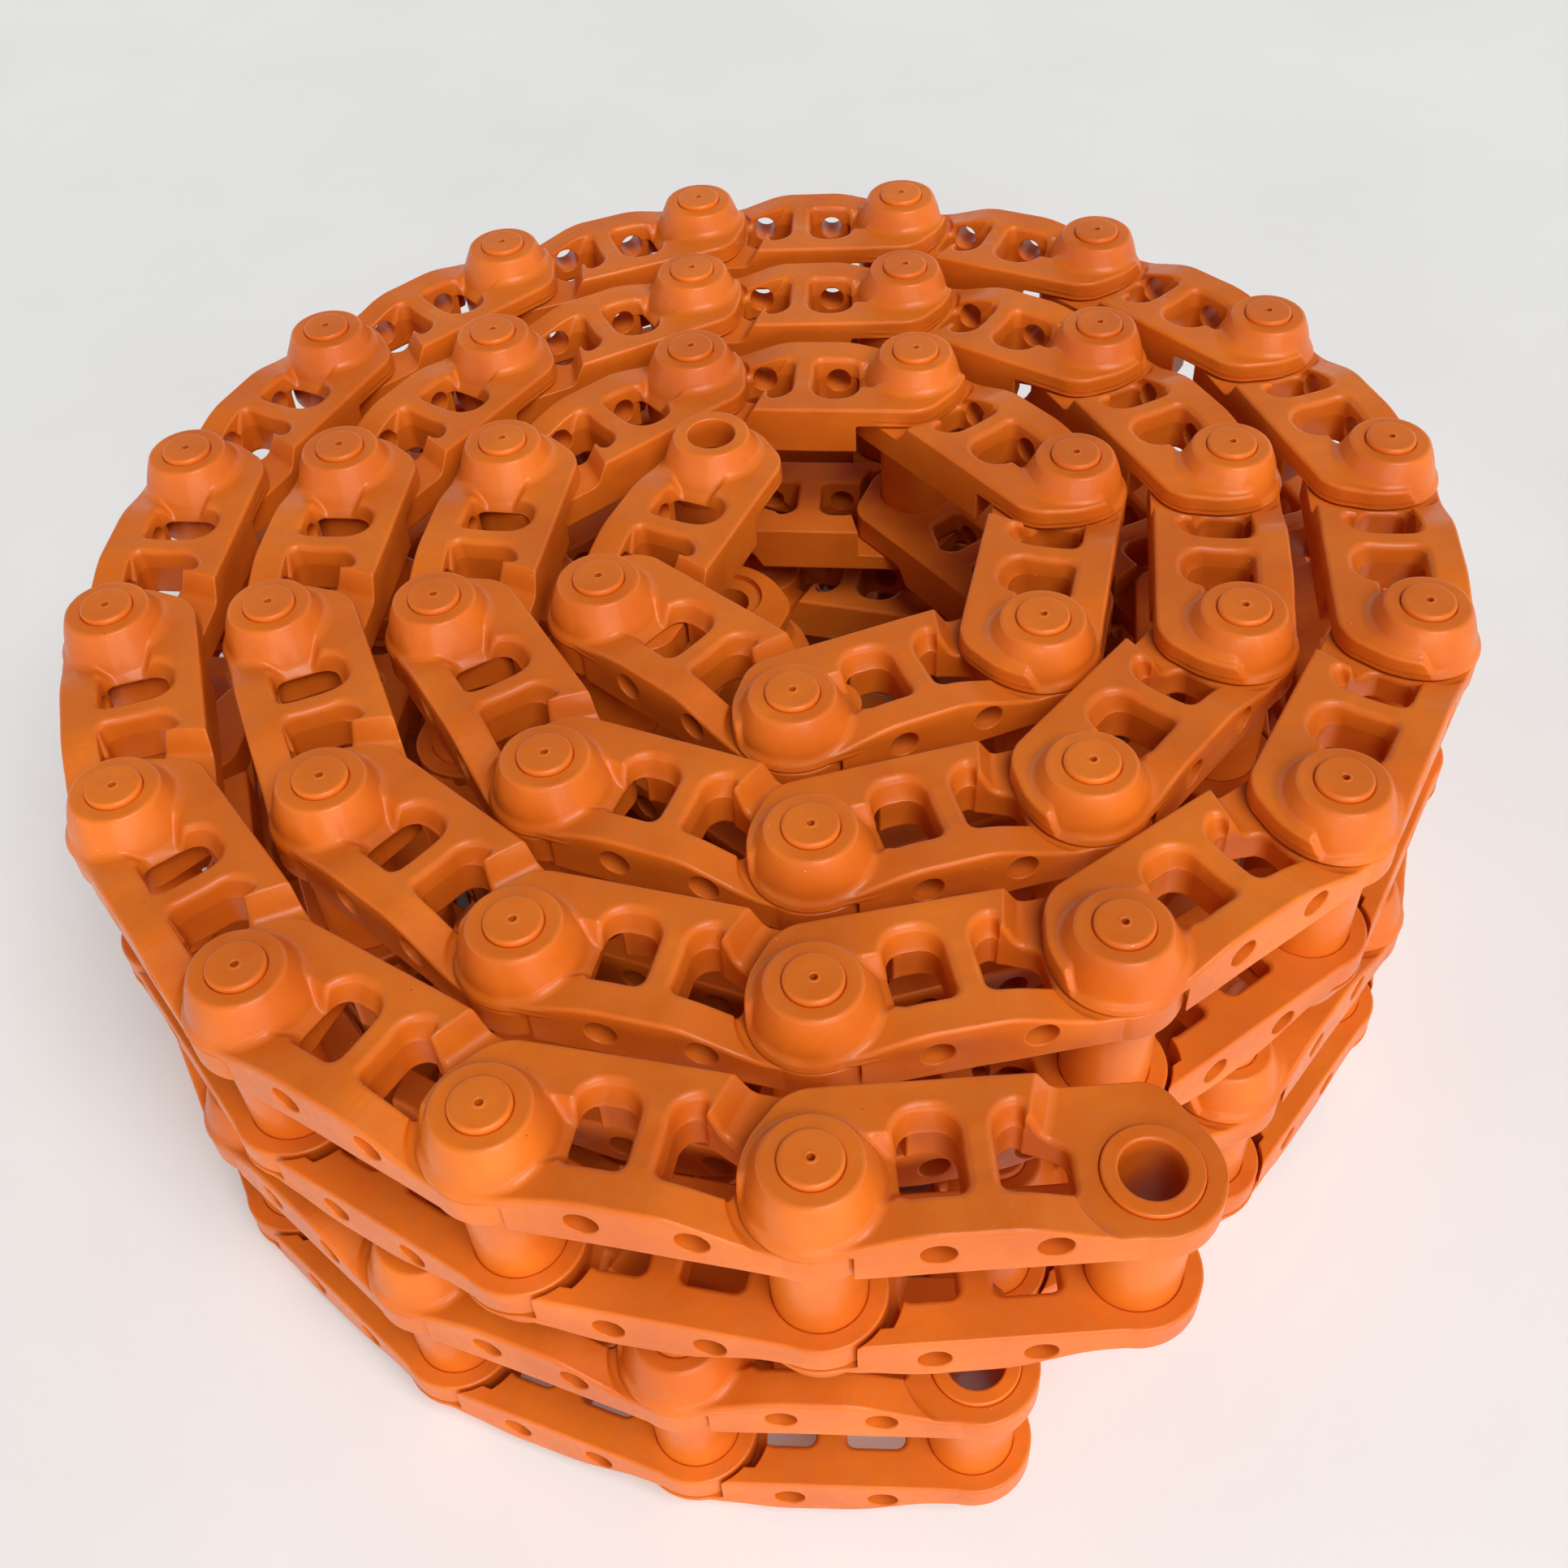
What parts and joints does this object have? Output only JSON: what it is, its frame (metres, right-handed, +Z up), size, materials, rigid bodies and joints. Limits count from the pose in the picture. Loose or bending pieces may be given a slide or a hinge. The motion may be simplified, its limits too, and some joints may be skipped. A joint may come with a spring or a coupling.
{
  "type": "track chain",
  "caption": "Crawler track link chains with pressed pins, bushings and shoe bolt holes, wound on their sides into flat rolls and stacked.",
  "frame": {"origin": "middle of the pair of rolls in plan, on the ground under the bottom roll's pin ends", "axes": "+Z up, along the pins and bushings; +X along the top roll's free end link towards its open bushing; -Y out of that link's shoe face"},
  "size_m": [1.0632, 1.1295, 0.4325],
  "materials": {
    "link_paint": "satin paint over forged steel",
    "bushing_paint": "satin paint over ground steel",
    "pin_paint": "satin paint over turned steel",
    "seal_rubber": "matt black"
  },
  "bodies": {
    "top_link1": {"top_link1_upper_link": "link_paint", "top_link1_lower_link": "link_paint", "top_link1_bushing": "bushing_paint", "top_link1_pin": "pin_paint", "top_link1_seals": "seal_rubber"},
    "top_link2": {"top_link2_upper_link": "link_paint", "top_link2_lower_link": "link_paint", "top_link2_bushing": "bushing_paint", "top_link2_pin": "pin_paint", "top_link2_seals": "seal_rubber"},
    "top_link3": {"top_link3_upper_link": "link_paint", "top_link3_lower_link": "link_paint", "top_link3_bushing": "bushing_paint", "top_link3_pin": "pin_paint", "top_link3_seals": "seal_rubber"},
    "top_link4": {"top_link4_upper_link": "link_paint", "top_link4_lower_link": "link_paint", "top_link4_bushing": "bushing_paint", "top_link4_pin": "pin_paint", "top_link4_seals": "seal_rubber"},
    "top_link5": {"top_link5_upper_link": "link_paint", "top_link5_lower_link": "link_paint", "top_link5_bushing": "bushing_paint", "top_link5_pin": "pin_paint", "top_link5_seals": "seal_rubber"},
    "top_link6": {"top_link6_upper_link": "link_paint", "top_link6_lower_link": "link_paint", "top_link6_bushing": "bushing_paint", "top_link6_pin": "pin_paint", "top_link6_seals": "seal_rubber"},
    "top_link7": {"top_link7_upper_link": "link_paint", "top_link7_lower_link": "link_paint", "top_link7_bushing": "bushing_paint", "top_link7_pin": "pin_paint", "top_link7_seals": "seal_rubber"},
    "top_core": {"top_core_upper_links": "link_paint", "top_core_lower_links": "link_paint", "top_core_bushings": "bushing_paint", "top_core_pins": "pin_paint", "top_core_seals": "seal_rubber"},
    "bottom_link1": {"bottom_link1_upper_link": "link_paint", "bottom_link1_lower_link": "link_paint", "bottom_link1_bushing": "bushing_paint", "bottom_link1_pin": "pin_paint", "bottom_link1_seals": "seal_rubber"},
    "bottom_link2": {"bottom_link2_upper_link": "link_paint", "bottom_link2_lower_link": "link_paint", "bottom_link2_bushing": "bushing_paint", "bottom_link2_pin": "pin_paint", "bottom_link2_seals": "seal_rubber"},
    "bottom_link3": {"bottom_link3_upper_link": "link_paint", "bottom_link3_lower_link": "link_paint", "bottom_link3_bushing": "bushing_paint", "bottom_link3_pin": "pin_paint", "bottom_link3_seals": "seal_rubber"},
    "bottom_core": {"bottom_core_upper_links": "link_paint", "bottom_core_lower_links": "link_paint", "bottom_core_bushings": "bushing_paint", "bottom_core_pins": "pin_paint", "bottom_core_seals": "seal_rubber"}
  },
  "joints": [
    {"name": "top_joint1", "type": "hinge", "parent": "top_link2", "child": "top_link1", "pos_m": [0.00133, -0.51546, 0.3245], "axis": [0, 0, -1], "range_deg": [-4, 20]},
    {"name": "top_joint2", "type": "hinge", "parent": "top_link3", "child": "top_link2", "pos_m": [-0.1822, -0.46629, 0.3245], "axis": [0, 0, -1], "range_deg": [0, 25.3]},
    {"name": "top_joint3", "type": "hinge", "parent": "top_link4", "child": "top_link3", "pos_m": [-0.33735, -0.35661, 0.3245], "axis": [0, 0, -1], "range_deg": [0, 25.5]},
    {"name": "top_joint4", "type": "hinge", "parent": "top_link5", "child": "top_link4", "pos_m": [-0.4442, -0.1995, 0.3245], "axis": [0, 0, -1], "range_deg": [0, 25.8]},
    {"name": "top_joint5", "type": "hinge", "parent": "top_link6", "child": "top_link5", "pos_m": [-0.48832, -0.01469, 0.3245], "axis": [0, 0, -1], "range_deg": [0, 26.1]},
    {"name": "top_joint6", "type": "hinge", "parent": "top_link7", "child": "top_link6", "pos_m": [-0.46304, 0.17362, 0.3245], "axis": [0, 0, -1], "range_deg": [0, 26.4]},
    {"name": "top_joint7", "type": "hinge", "parent": "top_core", "child": "top_link7", "pos_m": [-0.37087, 0.33976, 0.3245], "axis": [0, 0, -1], "range_deg": [0, 26.7]},
    {"name": "bottom_joint1", "type": "hinge", "parent": "bottom_link2", "child": "bottom_link1", "pos_m": [-0.09036, -0.50291, 0.108], "axis": [0, 0, -1], "range_deg": [0, 24]},
    {"name": "bottom_joint2", "type": "hinge", "parent": "bottom_link3", "child": "bottom_link2", "pos_m": [-0.26298, -0.42351, 0.108], "axis": [0, 0, -1], "range_deg": [0, 25.3]},
    {"name": "bottom_joint3", "type": "hinge", "parent": "bottom_core", "child": "bottom_link3", "pos_m": [-0.39742, -0.28926, 0.108], "axis": [0, 0, -1], "range_deg": [0, 25.5]},
    {"name": "top_roll_lift", "type": "slide", "parent": "bottom_core", "child": "top_core", "axis": [0, 0, 1], "range_m": [0, 0.5]}
  ]
}
